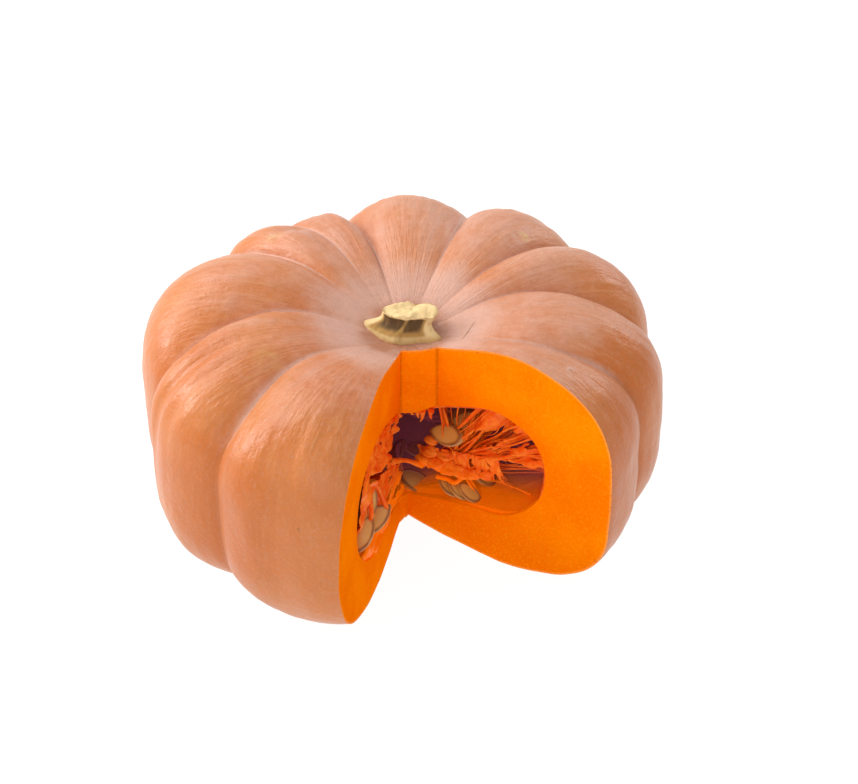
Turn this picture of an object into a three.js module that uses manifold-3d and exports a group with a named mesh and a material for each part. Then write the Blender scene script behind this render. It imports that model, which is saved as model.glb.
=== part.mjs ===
// A ribbed winter squash standing on its base with one wedge taken out, so that its seed cavity shows.
// Millimetres, +Z up. The stem axis is x = y = 0 and the floor is z = 0 while the pieces are made; at the
// end the group is moved sideways so that the middle of its bounding box stands over the origin.
import * as THREE from "three";
import { mergeVertices } from "three/addons/utils/BufferGeometryUtils.js";
import Module from "manifold-3d";

const wasm = await Module();
wasm.setup();

// Driving dimensions of the fruit.
const RADIUS = 120; // crest of a plain lobe, from the stem axis
const EQUATOR = 63.7; // height of the widest part; crests that reach below the floor become flat spots
const CROWN = 69.5; // crest height over the equator before the stem hollow is pressed in
const KEEL = 68.8; // crest depth under the equator before the blossom hollow is pressed in
const STEM_HOLLOW = { depth: 28, reach: 51 };
const BLOSSOM_HOLLOW = { depth: 6.5, reach: 40 };
const SIDE_POWER = 0.93; // how fast the radius grows away from the axis
const HEIGHT_POWER = 0.55; // how square the shoulders are
const LOBE_POWER = 0.6; // below 1, lobes are full and the grooves between them narrow
const CORE = 0.3; // share of the radius that the grooves leave alone
const GAP = 0.3; // clearance between neighbouring pieces

// Lobes in order round the axis: angle of the groove each starts at, near the stem and at the side,
// how far the lobe swells, and the depth of that groove as a share of the radius.
const LOBES = [
  { top: -58, side: -58, swell: 0.955, groove: 0.1 },
  { top: -21.5, side: -18, swell: 1.0, groove: 0.085 },
  { top: 21, side: 8, swell: 1.05, groove: 0.115 },
  { top: 42, side: 42, swell: 1.055, groove: 0.105 },
  { top: 69, side: 73, swell: 1.065, groove: 0.1 },
  { top: 105, side: 108, swell: 0.975, groove: 0.12 },
  { top: 121.5, side: 124, swell: 1.015, groove: 0.04 },
  { top: 142, side: 141, swell: 1.065, groove: 0.105 },
  { top: 175, side: 190, swell: 1.01, groove: 0.13 },
  { top: 216, side: 224, swell: 0.99, groove: 0.105 },
  { top: 264, side: 264, swell: 0.93, groove: 0.1 },
];
// Shallow folds within a lobe: side angle, half width in degrees, depth, and the polar angles it runs over.
const FOLDS = [
  { angle: 205, width: 5, depth: 0.016, from: 0.5, to: 1.9 },
  { angle: 243, width: 7, depth: 0.014, from: 0.9, to: 2.1 },
];
const STEPS_PER_LOBE = 7;
const SKIN_ROWS = 24;

// Half section of the seed cavity, from its ceiling on the axis round to its floor on the axis.
const CAVITY = [
  [0, 68],
  [12, 70.5],
  [21, 76],
  [43, 84.5],
  [55, 86.5],
  [66, 84],
  [74, 79.5],
  [79.5, 71],
  [81, 60],
  [77.5, 48],
  [68, 36],
  [56, 28.5],
  [39, 25],
  [21, 20.5],
  [0, 14.5],
];
const CAVITY_SIDES = 28;
const CAVITY_ROWS = 12;

// The wedge that was taken out: a point on each knife plane and the direction from it to what is left.
// Two cuts meet near the axis. A short facet stands in front of the stem, and a smaller one by the base.
const LEFT_CUT = { point: [-1.24, 0, 0], keep: [-1, 0.21, 0.0247] };
const RIGHT_CUT = { point: [-0.8, -1, 0], keep: [0.6046, 0.7965, 0] };
const UPPER_FACET = { point: [7, -12.8, 100], keep: [0.03, 1, 0] };
const LOWER_FACET = { point: [-0.9, -5.4, 0], keep: [-0.8, 0.6, 0] };
const FACET_SPLIT = 45; // height inside the cavity where one facet hands over to the other

// Stem: a corky stub whose ridges run out over the skin, as azimuth and reach at the foot.
const STEM_RIDGES = [
  [158, 20],
  [-12, 17],
  [-112, 11],
  [98, 14],
  [42, 14.5],
];
const STEM = { height: 18, neck: [9.6, 6.6], head: [12.6, 7.8], centre: [-1, 2.5], sides: 30, rows: 7 };

// Pulp: a lining of the cavity, a cord round the middle, and strands that run from the cord to the lining.
const LINING = 2.4;
const PULP_BACK = 0.8; // how far the pulp stands behind the knife planes
const CORD = { reach: 28, height: 43, thick: 3.2, from: -29, to: 251 };
const STRANDS = { count: 32, crowd: 12, seed: 11, thick: [0.9, 1.7], sunk: 1.3 };

// Seeds: teardrop plates. Each bunch hangs on a short string of its own through the points of its seeds.
const SEED = { length: 19, width: 11.5, thick: 3.6 };
const TO_FRONT = [0, -0.8, 0.6];
const BUNCHES = {
  seeds_left: [
    { at: [-15.4, -49.5, 38.5], tip: [0.75, 0.4, 0.53], face: TO_FRONT },
    { at: [-18.5, -57, 52], tip: [0.25, 0.5, 0.85], face: [0.4, -0.8, 0.4] },
    { at: [-23.4, -61, 41], tip: [0.5, 0.5, 0.7], face: TO_FRONT },
    { at: [-25, -47, 46], tip: [0.6, -0.2, 0.5], face: [0.3, -0.5, 0.8] },
  ],
  seeds_right: [
    { at: [20.5, -9.5, 56.5], tip: [-0.8, 0.6, -0.12], face: [-0.5, -0.7, 0.35] },
    { at: [28, -6, 60.5], tip: [-0.7, 0.3, -0.4], face: [0.2, -0.5, 0.8] },
    { at: [25, 2, 57], tip: [-0.6, -0.5, -0.1], face: [0.3, 0.2, 0.9] },
  ],
  seeds_floor: [
    { at: [23.5, -12, 30], tip: [-0.35, 0.45, 0.8], face: [0.7, -0.7, 0.4] },
    { at: [28, -16.5, 32], tip: [-0.4, 0.45, 0.75], face: [0.6, -0.75, 0.5] },
    { at: [33, -18.5, 33], tip: [-0.45, 0.4, 0.75], face: [0.6, -0.7, 0.5] },
    { at: [36, -9, 34], tip: [-0.6, 0.2, 0.6], face: [0.4, -0.6, 0.8] },
  ],
  seeds_middle: [
    { at: [4, 6, 20.5], tip: [-0.7, 0.5, 0.3], face: [0.2, -0.55, 0.8] },
    { at: [-6, 13, 22.5], tip: [0.3, 0.3, 0.4], face: [-0.3, -0.3, 0.9] },
    { at: [8, 18, 23], tip: [-0.8, -0.2, 0.25], face: [0, -0.3, 0.9] },
  ],
};
// Bunches further round the cavity lie where the light hardly reaches; these are set out by a rule.
const FAR_BUNCHES = { seeds_far_a: 34, seeds_far_b: 98, seeds_far_c: 170 };
const FAR = { reach: 58, height: 42, seeds: 4, seed: 5 };

const COLOURS = {
  fruit: { color: 0xd9955f, roughness: 0.5, metalness: 0 },
  stem: { color: 0xb89a5e, roughness: 0.9, metalness: 0 },
  pulp: { color: 0xe2581a, roughness: 0.45, metalness: 0 },
  seeds: { color: 0xc49a5a, roughness: 0.55, metalness: 0 },
};

const radians = THREE.MathUtils.degToRad;
const { lerp, smoothstep } = THREE.MathUtils;

// A repeatable stream of numbers from 0 to 1.
function numbersFrom(seed) {
  let state = seed;
  return () => {
    state = (Math.imul(state, 1664525) + 1013904223) >>> 0;
    return state / 4294967296;
  };
}

// A closed surface as a solid: corners are welded and triangles that shrank to nothing are dropped.
function solidFrom(geometry) {
  const bare = geometry.clone();
  bare.deleteAttribute("normal");
  bare.deleteAttribute("uv");
  const welded = mergeVertices(bare, 1e-4);
  const corners = [];
  for (let i = 0; i < welded.index.count; i += 3) {
    const [a, b, c] = [0, 1, 2].map((k) => welded.index.getX(i + k));
    if (a !== b && b !== c && a !== c) corners.push(a, b, c);
  }
  const vertProperties = new Float32Array(welded.attributes.position.array);
  return new wasm.Manifold(new wasm.Mesh({ numProp: 3, vertProperties, triVerts: new Uint32Array(corners) }));
}

function largestOf(solid) {
  return solid.decompose().sort((a, b) => b.volume() - a.volume())[0];
}

function meshFrom(name, solid, look) {
  const made = solid.getMesh();
  const geometry = new THREE.BufferGeometry();
  geometry.setAttribute("position", new THREE.BufferAttribute(made.vertProperties, 3));
  geometry.setIndex(new THREE.BufferAttribute(made.triVerts, 1));
  geometry.computeVertexNormals();
  const mesh = new THREE.Mesh(geometry, new THREE.MeshStandardMaterial(look));
  mesh.name = name;
  return mesh;
}

// Everything on the side of a plane that its direction points away from.
function spaceBehind(point, direction, shift = 0) {
  const size = 800;
  const away = new THREE.Vector3(...direction).normalize();
  const block = new THREE.BoxGeometry(size, size, size);
  block.translate(0, 0, -size / 2 - shift);
  block.applyQuaternion(new THREE.Quaternion().setFromUnitVectors(new THREE.Vector3(0, 0, 1), away));
  block.translate(...point);
  return solidFrom(block);
}

// The wedge as a solid. A negative setback widens it.
function wedge(setback) {
  const cuts = (facet) =>
    [LEFT_CUT, RIGHT_CUT, facet]
      .map((cut) => spaceBehind(cut.point, cut.keep, setback))
      .reduce((whole, half) => whole.intersect(half));
  const upper = cuts(UPPER_FACET).intersect(spaceBehind([0, 0, FACET_SPLIT], [0, 0, -1]));
  const lower = cuts(LOWER_FACET).intersect(spaceBehind([0, 0, FACET_SPLIT], [0, 0, 1]));
  return upper.add(lower);
}

// Crest of a plain lobe at a polar angle, 0 at the stem and pi at the blossom end.
function crest(polar) {
  const radius = RADIUS * Math.abs(Math.sin(polar)) ** SIDE_POWER;
  const rise = Math.abs(Math.cos(polar)) ** HEIGHT_POWER;
  const dip = (hollow) => hollow.depth * Math.exp(-((radius / hollow.reach) ** 2));
  const height = polar < Math.PI / 2 ? CROWN * rise - dip(STEM_HOLLOW) : dip(BLOSSOM_HOLLOW) - KEEL * rise;
  return { radius, height };
}

// A point of the skin: which lobe, how far across it from 0 to 1, and the polar angle.
function skinPoint(lobe, across, polar) {
  const here = LOBES[lobe];
  const next = LOBES[(lobe + 1) % LOBES.length];
  const last = LOBES[(lobe + LOBES.length - 1) % LOBES.length];
  const turn = smoothstep(polar, 0.25, 1.2);
  const start = lerp(here.top, here.side, turn);
  const end = lerp(next.top, next.side, turn) + (lobe === LOBES.length - 1 ? 360 : 0);
  const angle = lerp(start, end, across);
  const side = across < 0.5 ? last : next;
  const blend = 0.5 * (1 - smoothstep(0.5 - Math.abs(across - 0.5), 0, 0.5));
  const swell = lerp(here.swell, side.swell, blend) - 1;
  const pinch = 1 - Math.sin(Math.PI * Math.min(1, Math.max(0, across))) ** LOBE_POWER;
  const folds = FOLDS.map(
    (fold) =>
      fold.depth *
      Math.exp(-(((angle - fold.angle) / fold.width) ** 2)) *
      smoothstep(polar, fold.from, fold.from + 0.3) *
      (1 - smoothstep(polar, fold.to - 0.3, fold.to)),
  ).reduce((sum, depth) => sum + depth, 0);
  const groove = lerp(here.groove, next.groove, across) * pinch + folds;
  const fade = Math.abs(Math.sin(polar)) ** 0.6;
  const { radius, height } = crest(polar);
  const core = CORE * RADIUS * Math.min(1, radius / (0.8 * RADIUS));
  const reach = core + (radius - core) * (1 + (swell - groove) * fade);
  const lift = height * (1 + ((height > 0 ? swell : 0) - groove) * fade);
  return new THREE.Vector3(
    reach * Math.cos(radians(angle)),
    reach * Math.sin(radians(angle)),
    EQUATOR + lift,
  );
}

// The whole skin as a solid: a turned blank whose corners are moved out to the lobes.
function skinSolid() {
  const polars = Array.from({ length: SKIN_ROWS + 1 }, (_, row) => Math.PI * (1 - row / SKIN_ROWS));
  const blank = new THREE.LatheGeometry(
    polars.map((polar) => new THREE.Vector2(Math.sin(polar), Math.cos(polar))),
    LOBES.length * STEPS_PER_LOBE,
  );
  const corners = blank.attributes.position;
  for (let i = 0; i < corners.count; i++) {
    const step = Math.floor(i / polars.length) % (LOBES.length * STEPS_PER_LOBE);
    const row = i % polars.length;
    const lobe = Math.floor(step / STEPS_PER_LOBE);
    const spot = skinPoint(lobe, (step % STEPS_PER_LOBE) / STEPS_PER_LOBE, polars[row]);
    const onAxis = row === 0 || row === polars.length - 1;
    corners.setXYZ(i, onAxis ? 0 : spot.x, onAxis ? 0 : spot.y, spot.z);
  }
  return solidFrom(blank);
}

// Half section of the cavity drawn in by some distance, as points from floor to ceiling.
const wall = new THREE.SplineCurve(CAVITY.map(([reach, height]) => new THREE.Vector2(reach, height)));
function wallPoint(share, inset) {
  const along = wall.getTangent(share);
  const spot = wall.getPoint(share);
  const onAxis = share === 0 || share === 1;
  const inward = onAxis ? new THREE.Vector2(0, share === 0 ? -1 : 1) : new THREE.Vector2(along.y, -along.x);
  spot.addScaledVector(inward, inset);
  return onAxis ? spot.setX(0) : spot;
}

// The hollow of the cavity as a solid, drawn in by some distance all round.
function hollowSolid(inset) {
  const shares = Array.from({ length: CAVITY_ROWS + 1 }, (_, row) => 1 - row / CAVITY_ROWS);
  const turned = new THREE.LatheGeometry(
    shares.map((share) => wallPoint(share, inset)),
    CAVITY_SIDES,
  );
  return solidFrom(turned.rotateX(Math.PI / 2));
}

// A few-sided tube along a bent path.
function strandSolid(points, thick, steps, sides = 5) {
  const ring = new THREE.Shape(
    Array.from({ length: sides }, (_, k) => {
      const turn = (2 * Math.PI * k) / sides;
      return new THREE.Vector2(thick * Math.cos(turn), thick * Math.sin(turn));
    }),
  );
  const extrudePath = new THREE.CatmullRomCurve3(points);
  return solidFrom(new THREE.ExtrudeGeometry(ring, { steps, extrudePath, bevelEnabled: false }));
}

function around(angle, reach, height) {
  return new THREE.Vector3(reach * Math.cos(radians(angle)), reach * Math.sin(radians(angle)), height);
}

// A point of the cord, which wavers in height and reach on its way round.
function cordPoint(angle) {
  const waver = Math.sin(radians(angle * 5)) * 1.6;
  return around(angle, CORD.reach + waver, CORD.height + 2.2 * Math.sin(radians(angle * 3 + 40)));
}

// One strand: from the cord out to the lining, bowed sideways and sagging. Near the right cut they crowd.
function strandPath(next, crowded) {
  const angle = lerp(CORD.from + 3, crowded ? CORD.from + 24 : CORD.to - 3, next());
  const share = lerp(0.1, 0.86, next());
  const bow = (next() - 0.5) * 14;
  const sag = 1 + 4 * next();
  const drift = (next() - 0.5) * 16;
  const outer = Math.min(CORD.to + 1, Math.max(CORD.from - 1, angle + drift));
  const root = cordPoint(angle);
  const foot = wallPoint(share, GAP + LINING - STRANDS.sunk);
  const end = around(outer, foot.x, foot.y);
  const middle = root.clone().lerp(end, 0.5);
  middle.z -= sag;
  const sideways = around(angle + 90, 1, 0);
  sideways.z = 0;
  const inside = Math.min(CORD.to - angle, angle - CORD.from) > 12 ? bow : 0;
  middle.addScaledVector(sideways, inside);
  return { points: [root, middle, end], thick: lerp(...STRANDS.thick, next()) };
}

function pulpSolid() {
  const lining = hollowSolid(GAP).subtract(hollowSolid(GAP + LINING));
  const turns = Array.from({ length: 15 }, (_, k) => cordPoint(lerp(CORD.from, CORD.to, k / 14)));
  let pulp = lining.add(strandSolid(turns, CORD.thick, 20, 5));
  const next = numbersFrom(STRANDS.seed);
  for (let k = 0; k < STRANDS.count; k++) {
    const strand = strandPath(next, k < STRANDS.crowd);
    pulp = pulp.add(strandSolid(strand.points, strand.thick, 4));
  }
  return pulp.intersect(hollowSolid(GAP)).subtract(wedge(-PULP_BACK));
}

// One seed: a flattened ball drawn out to a point, turned to face a direction.
function seedSolid({ at, tip, face }, grown = 0) {
  const ball = new THREE.SphereGeometry(0.5, 7, 5);
  ball.rotateZ(-Math.PI / 2);
  const corners = ball.attributes.position;
  for (let i = 0; i < corners.count; i++) {
    const x = corners.getX(i);
    const narrow = 1 - 0.55 * Math.max(0, x + 0.1) ** 1.2;
    corners.setXYZ(
      i,
      x * (SEED.length + 2.4 * grown),
      corners.getY(i) * (SEED.width * narrow + 2.4 * grown),
      corners.getZ(i) * (SEED.thick * narrow + 2.4 * grown),
    );
  }
  const ahead = new THREE.Vector3(...tip).normalize();
  const across = new THREE.Vector3(...face).cross(ahead).normalize();
  const up = ahead.clone().cross(across);
  ball.applyMatrix4(new THREE.Matrix4().makeBasis(ahead, across, up).setPosition(...at));
  return solidFrom(ball);
}

// A bunch: its seeds and the string through their points.
function bunchSolid(seeds, grown = 0) {
  const tips = seeds.map(({ at, tip }) => {
    const ahead = new THREE.Vector3(...tip).normalize();
    return new THREE.Vector3(...at).addScaledVector(ahead, SEED.length * 0.4);
  });
  const first = tips[0].clone().sub(tips[1]).setLength(grown).add(tips[0]);
  const last = tips.at(-1).clone().sub(tips.at(-2)).setLength(grown).add(tips.at(-1));
  const string = strandSolid([first, ...tips.slice(1, -1), last], 1.2 + grown, 3 * tips.length - 3, 6);
  return seeds.reduce((whole, seed) => whole.add(seedSolid(seed, grown)), string);
}

// Seeds of a bunch further round: side by side on the floor of the cavity, points towards the cord.
function farBunch(angle, next) {
  return Array.from({ length: FAR.seeds }, (_, k) => {
    const turn = angle + (k - (FAR.seeds - 1) / 2) * 9;
    const at = around(turn, FAR.reach + 5 * (next() - 0.5), FAR.height + 3 * next());
    const tip = around(turn + 180, 1, 0.25 + 0.2 * next());
    const face = around(turn + 180, 0.5, 1).add(around(turn + 90, 0.9 * (next() - 0.5), 0));
    return { at: at.toArray(), tip: tip.toArray(), face: face.toArray() };
  });
}

// The stem: five ridges that flare at the foot, a narrower neck and a broad broken top.
function stemBlank() {
  const { height, neck, head, centre, sides, rows } = STEM;
  const profile = [[0, -8]];
  for (let row = 0; row <= rows; row++) profile.push([1, -8 + ((height + 8) * row) / rows]);
  profile.push([0, height]);
  const blank = new THREE.LatheGeometry(
    profile.map(([x, y]) => new THREE.Vector2(x, y)),
    sides,
  );
  blank.rotateX(Math.PI / 2);
  const corners = blank.attributes.position;
  for (let i = 0; i < corners.count; i++) {
    const angle = Math.atan2(corners.getY(i), corners.getX(i));
    const size = Math.hypot(corners.getX(i), corners.getY(i));
    const z = corners.getZ(i);
    const flare = 1 - smoothstep(z, -1, 9);
    const open = smoothstep(z, 8, height);
    const broad = lerp(neck[0], head[0], open);
    const deep = lerp(neck[1], head[1], open);
    let reach = (broad * deep) / Math.hypot(deep * Math.cos(angle), broad * Math.sin(angle));
    for (const [azimuth, foot] of STEM_RIDGES) {
      const off = Math.atan2(Math.sin(angle - radians(azimuth)), Math.cos(angle - radians(azimuth)));
      const ridge = Math.exp(-((off / 0.36) ** 2));
      reach += ridge * (flare * Math.max(0, foot - 8) + 1.1);
    }
    const ragged = size > 0.5 && z > height - 0.01 ? 1.1 * Math.sin(3 * angle + 1) : 0;
    corners.setXYZ(
      i,
      centre[0] + size * reach * Math.cos(angle),
      centre[1] + size * reach * Math.sin(angle),
      z + ragged,
    );
  }
  return solidFrom(blank);
}

const skin = skinSolid();
const notch = wedge(0);
const fruit = largestOf(
  skin.intersect(spaceBehind([0, 0, 0], [0, 0, -1])).subtract(hollowSolid(0)).subtract(notch),
);

const seat = skinPoint(0, 0, 0).z;
const stem = largestOf(
  stemBlank()
    .translate([0, 0, seat])
    .subtract(skin.translate([0, 0, GAP]))
    .subtract(wedge(-GAP)),
);

const bunches = { ...BUNCHES };
const farNumbers = numbersFrom(FAR.seed);
for (const [name, angle] of Object.entries(FAR_BUNCHES)) bunches[name] = farBunch(angle, farNumbers);

let pulp = pulpSolid();
for (const seeds of Object.values(bunches)) pulp = pulp.subtract(bunchSolid(seeds, GAP));

const squash = new THREE.Group();
squash.name = "squash";
squash.add(meshFrom("fruit", fruit, COLOURS.fruit));
squash.add(meshFrom("stem", stem, COLOURS.stem));
squash.add(meshFrom("pulp", largestOf(pulp), COLOURS.pulp));
for (const [name, seeds] of Object.entries(bunches)) {
  squash.add(meshFrom(name, bunchSolid(seeds).intersect(hollowSolid(GAP)), COLOURS.seeds));
}

const box = new THREE.Box3().setFromObject(squash);
const middle = box.getCenter(new THREE.Vector3());
squash.position.set(-middle.x, -middle.y, 0);

export default squash;
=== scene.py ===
"""A ribbed winter squash with one wedge cut out: rind, cut flesh, pulp, seeds and corky stem."""

import math

import bmesh
import bpy
from mathutils import Matrix, Vector, geometry, kdtree, noise


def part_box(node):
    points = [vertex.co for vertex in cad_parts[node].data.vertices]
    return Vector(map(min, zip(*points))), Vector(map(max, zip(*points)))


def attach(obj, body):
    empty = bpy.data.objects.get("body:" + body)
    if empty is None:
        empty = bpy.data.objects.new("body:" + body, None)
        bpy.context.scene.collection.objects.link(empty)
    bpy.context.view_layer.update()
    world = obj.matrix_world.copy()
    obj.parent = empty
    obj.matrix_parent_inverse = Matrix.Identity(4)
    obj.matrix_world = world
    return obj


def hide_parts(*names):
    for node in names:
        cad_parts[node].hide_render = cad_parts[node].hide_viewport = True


bl_info = {
    "name": "Cut winter squash",
    "version": (1, 0, 0),
    "blender": (4, 5, 0),
    "location": "3D View > Sidebar > Squash",
    "description": "Builds a ribbed winter squash with a wedge cut out, piece by piece",
    "category": "Add Mesh",
}

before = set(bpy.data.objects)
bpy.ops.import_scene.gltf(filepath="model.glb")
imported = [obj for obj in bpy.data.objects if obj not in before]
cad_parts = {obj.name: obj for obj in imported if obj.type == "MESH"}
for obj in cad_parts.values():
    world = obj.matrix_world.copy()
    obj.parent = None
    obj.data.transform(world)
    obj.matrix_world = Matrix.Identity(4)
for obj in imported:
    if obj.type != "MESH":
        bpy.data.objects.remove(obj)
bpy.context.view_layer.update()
NOISE_SEED = 3
noise.seed_set(NOISE_SEED)  # without it noise_vector starts from the clock

# Pieces are shaped in millimetres round the stem axis, with the floor at z = 0, and moved at the end.
MM = 0.001
PULP_LOW, PULP_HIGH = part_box("pulp")
# The lining of the cavity is round, so its box gives the place of the stem axis.
LINING_REACH = (PULP_HIGH.x - PULP_LOW.x) / 2
STEM_AXIS = Vector(((PULP_LOW.x + PULP_HIGH.x) / 2, PULP_HIGH.y - LINING_REACH, 0))

# Lobes round the axis: groove angle near the stem and at the side, swell, depth of that groove,
# and how much higher the shoulder of the lobe stands.
LOBES = (
    (-58, -58, 0.955, 0.1, 0),
    (-21.5, -18, 1.0, 0.085, 0),
    (21, 8, 1.055, 0.115, 0.03),
    (42, 42, 1.07, 0.105, 0.03),
    (69, 73, 1.075, 0.1, 0.025),
    (105, 108, 0.985, 0.12, 0.05),
    (121.5, 124, 1.025, 0.04, 0.05),
    (142, 141, 1.068, 0.105, 0.065),
    (175, 190, 1.01, 0.13, 0),
    (216, 224, 0.99, 0.105, 0),
    (264, 264, 0.93, 0.1, 0),
)
# Shallow folds within a lobe: angle, half width in degrees, depth, and the polar angles it runs over.
FOLDS = (
    (200.5, 2.6, 0.03, 0.45, 1.7),
    (207.5, 2.4, 0.018, 0.6, 1.5),
    (243, 6, 0.024, 0.8, 2.1),
    (200.5, 1.3, 0.006, 0.62, 1.5),
    (204.5, 1.2, 0.005, 0.75, 1.35),
    (187.5, 1.1, 0.004, 0.7, 1.3),
)
FOLD_FADE = 0.3  # polar angle over which a fold comes and goes
# A crease crosses the double lobe behind the stem: it comes and goes between these angles.
PINCH_COMES, PINCH_GOES = (122, 128), (135, 141)
PINCH_DEPTH, PINCH_POLAR, PINCH_WIDTH = 0.03, 0.78, 0.05
# Powers that flatten the side and the top of the fruit and round a lobe across.
SIDE_POWER = 0.93
HEIGHT_POWER = 0.55
LOBE_POWER = 0.57
CORE = 0.3  # share of the radius that the grooves never reach
TWIST_POLARS = (0.25, 1.2)  # where a groove passes from its angle near the stem to that at the side
STEM_POLARS = (0.1, 0.45)  # where the grooves gain their depth, away from the stem
GROOVES_BY_STEM = 0.3  # share of their depth by the stem
SHOULDER_GROOVES = 1.0  # how much deeper the grooves run over the shoulders
SHOULDER, SHOULDER_SPREAD = 0.72, 0.4  # polar angle of the shoulders, and how far they spread
RIPPLED, RIPPLED_SPREAD = 0.75, 0.35  # polar angle where the skin is most rippled, and how far
LUMPS = ((0.9, 34), (0.4, 13))  # height and size of the lumps of the skin
GROOVE_ROUNDING = 0.02  # share of a lobe over which the bottom of a groove is rounded

# Half section of the seed cavity, from its ceiling on the axis round to its floor on the axis.
CAVITY = (
    (0, 68), (12, 70.5), (21, 76), (43, 84.5), (55, 86.5), (66, 84), (74, 79.5), (79.5, 71),
    (81, 60), (77.5, 48), (68, 36), (56, 28.5), (39, 25), (21, 20.5), (0, 14.5),
)

# Knife planes as a point and the direction towards what is left.
LEFT_CUT = ((-1.24, 0, 0), (-1, 0.21, 0.0247))
RIGHT_CUT = ((-0.8, -1, 0), (0.6046, 0.7965, 0))
UPPER_FACET = ((7, -12.8, 100), (0.03, 1, 0))
LOWER_FACET = ((-0.9, -5.4, 0), (-0.8, 0.6, 0))
FACET_CHANGE = (28, 60)  # heights between which the lower facet passes into the upper one
# Planes outside the fruit that close the wedge, and the heights between which it is made.
WEDGE_FRONT = ((0, -170, 0), (0, 1, 0))
WEDGE_SIDE = ((190, 0, 0), (1, 0, 0))
WEDGE_HEIGHTS = (-10, 160)
# Level directions from the two cuts into the flesh, and the angles of the cuts round the axis.
INTO_LEFT = Vector((*LEFT_CUT[1][:2], 0))
INTO_RIGHT = Vector(RIGHT_CUT[1])
LEFT_AZIMUTH = 257.6
RIGHT_AZIMUTH = -36.2
LEFT_HOLLOW = 4.0  # how far the left cut bows into the flesh
LINING_GAP = 3.0  # degrees by which the lining stops short of the left cut

STEM_MIDDLE = Vector((-1, 2.5, 0))  # of the stem's foot, from the stem axis
STEM_FLARE = (-2, 9.5)  # heights over which the foot draws in to the neck
STEM_OPENING = 5  # height from which the neck opens to the head
RIDGE_WIDTH = 0.25  # radians round the stem
RIDGE_START = 13  # reach past which the feet of the ridges run out
# Ridges of the stem: angle round it, reach of the foot and strength.
STEM_RIDGES = ((168, 18.5, 1), (-27, 19, 1), (-108, 13, 0.4), (98, 14, 1), (42, 15, 1))

# Seeds of each bunch in view: middle, the way the tip points, the way the broad face looks,
# and the size where it isn't 1.
TO_FRONT = (0, -0.8, 0.6)
BUNCHES = {
    "seeds_left": (
        ((-13.4, -48, 36.5), (0.75, 0.4, 0.53), TO_FRONT),
        ((-16.4, -58.5, 54), (0.25, 0.5, 0.85), (0.5, -0.75, 0.4)),
        ((-18.8, -66, 42.5), (0.5, 0.5, 0.7), TO_FRONT),
        ((-25, -47, 46), (0.6, -0.2, 0.5), (0.3, -0.5, 0.8)),
    ),
    "seeds_right": (
        ((19.6, -10.5, 56.6), (-0.8, 0.6, -0.16), (-0.4, -0.6, 0.62)),
        ((28, -6, 60.5), (-0.7, 0.3, -0.4), (0.2, -0.5, 0.8)),
        ((25, 2, 57), (-0.6, -0.5, -0.1), (0.3, 0.2, 0.9)),
    ),
    "seeds_floor": (
        ((21, -11.8, 26.4), (-0.75, 0.45, 0.45), (0.6, -0.6, 0.6), 0.7),
        ((25.6, -15.2, 27.4), (-0.75, 0.45, 0.5), (0.6, -0.65, 0.6), 0.7),
        ((30.4, -18.8, 28.6), (-0.75, 0.4, 0.5), (0.6, -0.65, 0.6), 0.7),
        ((36, -9, 34), (-0.6, 0.2, 0.6), (0.4, -0.6, 0.8)),
    ),
    "seeds_middle": (
        ((5, 2.5, 18.6), (-0.8, 0.4, 0.3), (0.2, -0.55, 0.8)),
        ((-6, 17, 22.5), (0.3, 0.3, 0.4), (-0.3, -0.3, 0.9)),
        ((8, 21, 23), (-0.8, -0.2, 0.25), (0, -0.3, 0.9)),
    ),
}
# Marks on the rind: middle, radius, strength and colour.
MARKS = (
    ((-63.1, 59.8, 122), 6, 0.6, (0.7, 0.46, 0.22)),
    ((-58.4, -38.2, 118.8), 9, 0.35, (0.56, 0.29, 0.08)),
    ((56.8, 60.2, 121.5), 4, 0.6, (0.68, 0.46, 0.16)),
    ((73.7, -42.7, 116.6), 3, 0.6, (0.66, 0.42, 0.33)),
    ((73.7, -42.7, 116.6), 1.3, 0.8, (0.4, 0.15, 0.08)),
    ((-43.5, -108.8, 80.6), 1.2, 0.8, (0.2, 0.08, 0.01)),
)
# A short crack by the stem: where it starts, the way it runs and the way across it.
CRACK = (26.4, -9.9, 110)
CRACK_ALONG = (0.51, 0.82, 0.27)
CRACK_ASIDE = (-0.85, 0.53, 0)
# Clots of pulp: middle and radius.
CLOTS = (
    ((9.5, -3.5, 37), 3.6), ((12, -5, 43), 3.6), ((16, -7.5, 37.5), 4.4), ((21, -10.5, 37), 4.4),
    ((26.5, -14.5, 38), 4.2), ((32, -18.5, 40), 3.6), ((12.5, -5, 49), 2.6), ((19, -9, 43.5), 3.4),
    ((38, -22.5, 42.5), 2.8),
)
STRAND_WAY = (0.79, -0.58, 0.2)  # the way the strands of the right cut run
# Ends of the line from which the fan of strands spreads, and of the line from which a flap hangs.
FAN_HUB = Vector((9, -3.5, 36)), Vector((54, -38, 62))
FLAP_HUB = Vector((7, -2, 35)), Vector((45, -28, 46))
# One stout strand crosses the wedge: its points and its radius at each.
BRIDGE = ((-6.5, -29, 55), (0.3, -15, 45), (8, -3.5, 33))
BRIDGE_RADII = (1.8, 1.1, 1.6)
# Inner edge of the curtain of pulp by the left cut, as reach and height.
CURTAIN_EDGE = ((11, 70), (15, 66), (27, 62), (30, 57), (20, 50), (10, 42), (5, 33), (3, 22))
# Ends of the cord and limits of the strands on it, as angles round the axis.
CORD_ENDS = (-28, 250)
STRAND_LIMITS = (-30, 252)
CAVITY_MIDDLE = Vector((0, 0, 50))
MAP_REACH = 20  # distance that counts as 1 in the map of the cut flesh
SHARP_ANGLE = 0.35  # edges of the flesh with a greater angle are sharp
STRING_AHEAD = 7.6  # from the middle of a seed to the string it hangs on
STRING_RADIUS = 1.1
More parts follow.
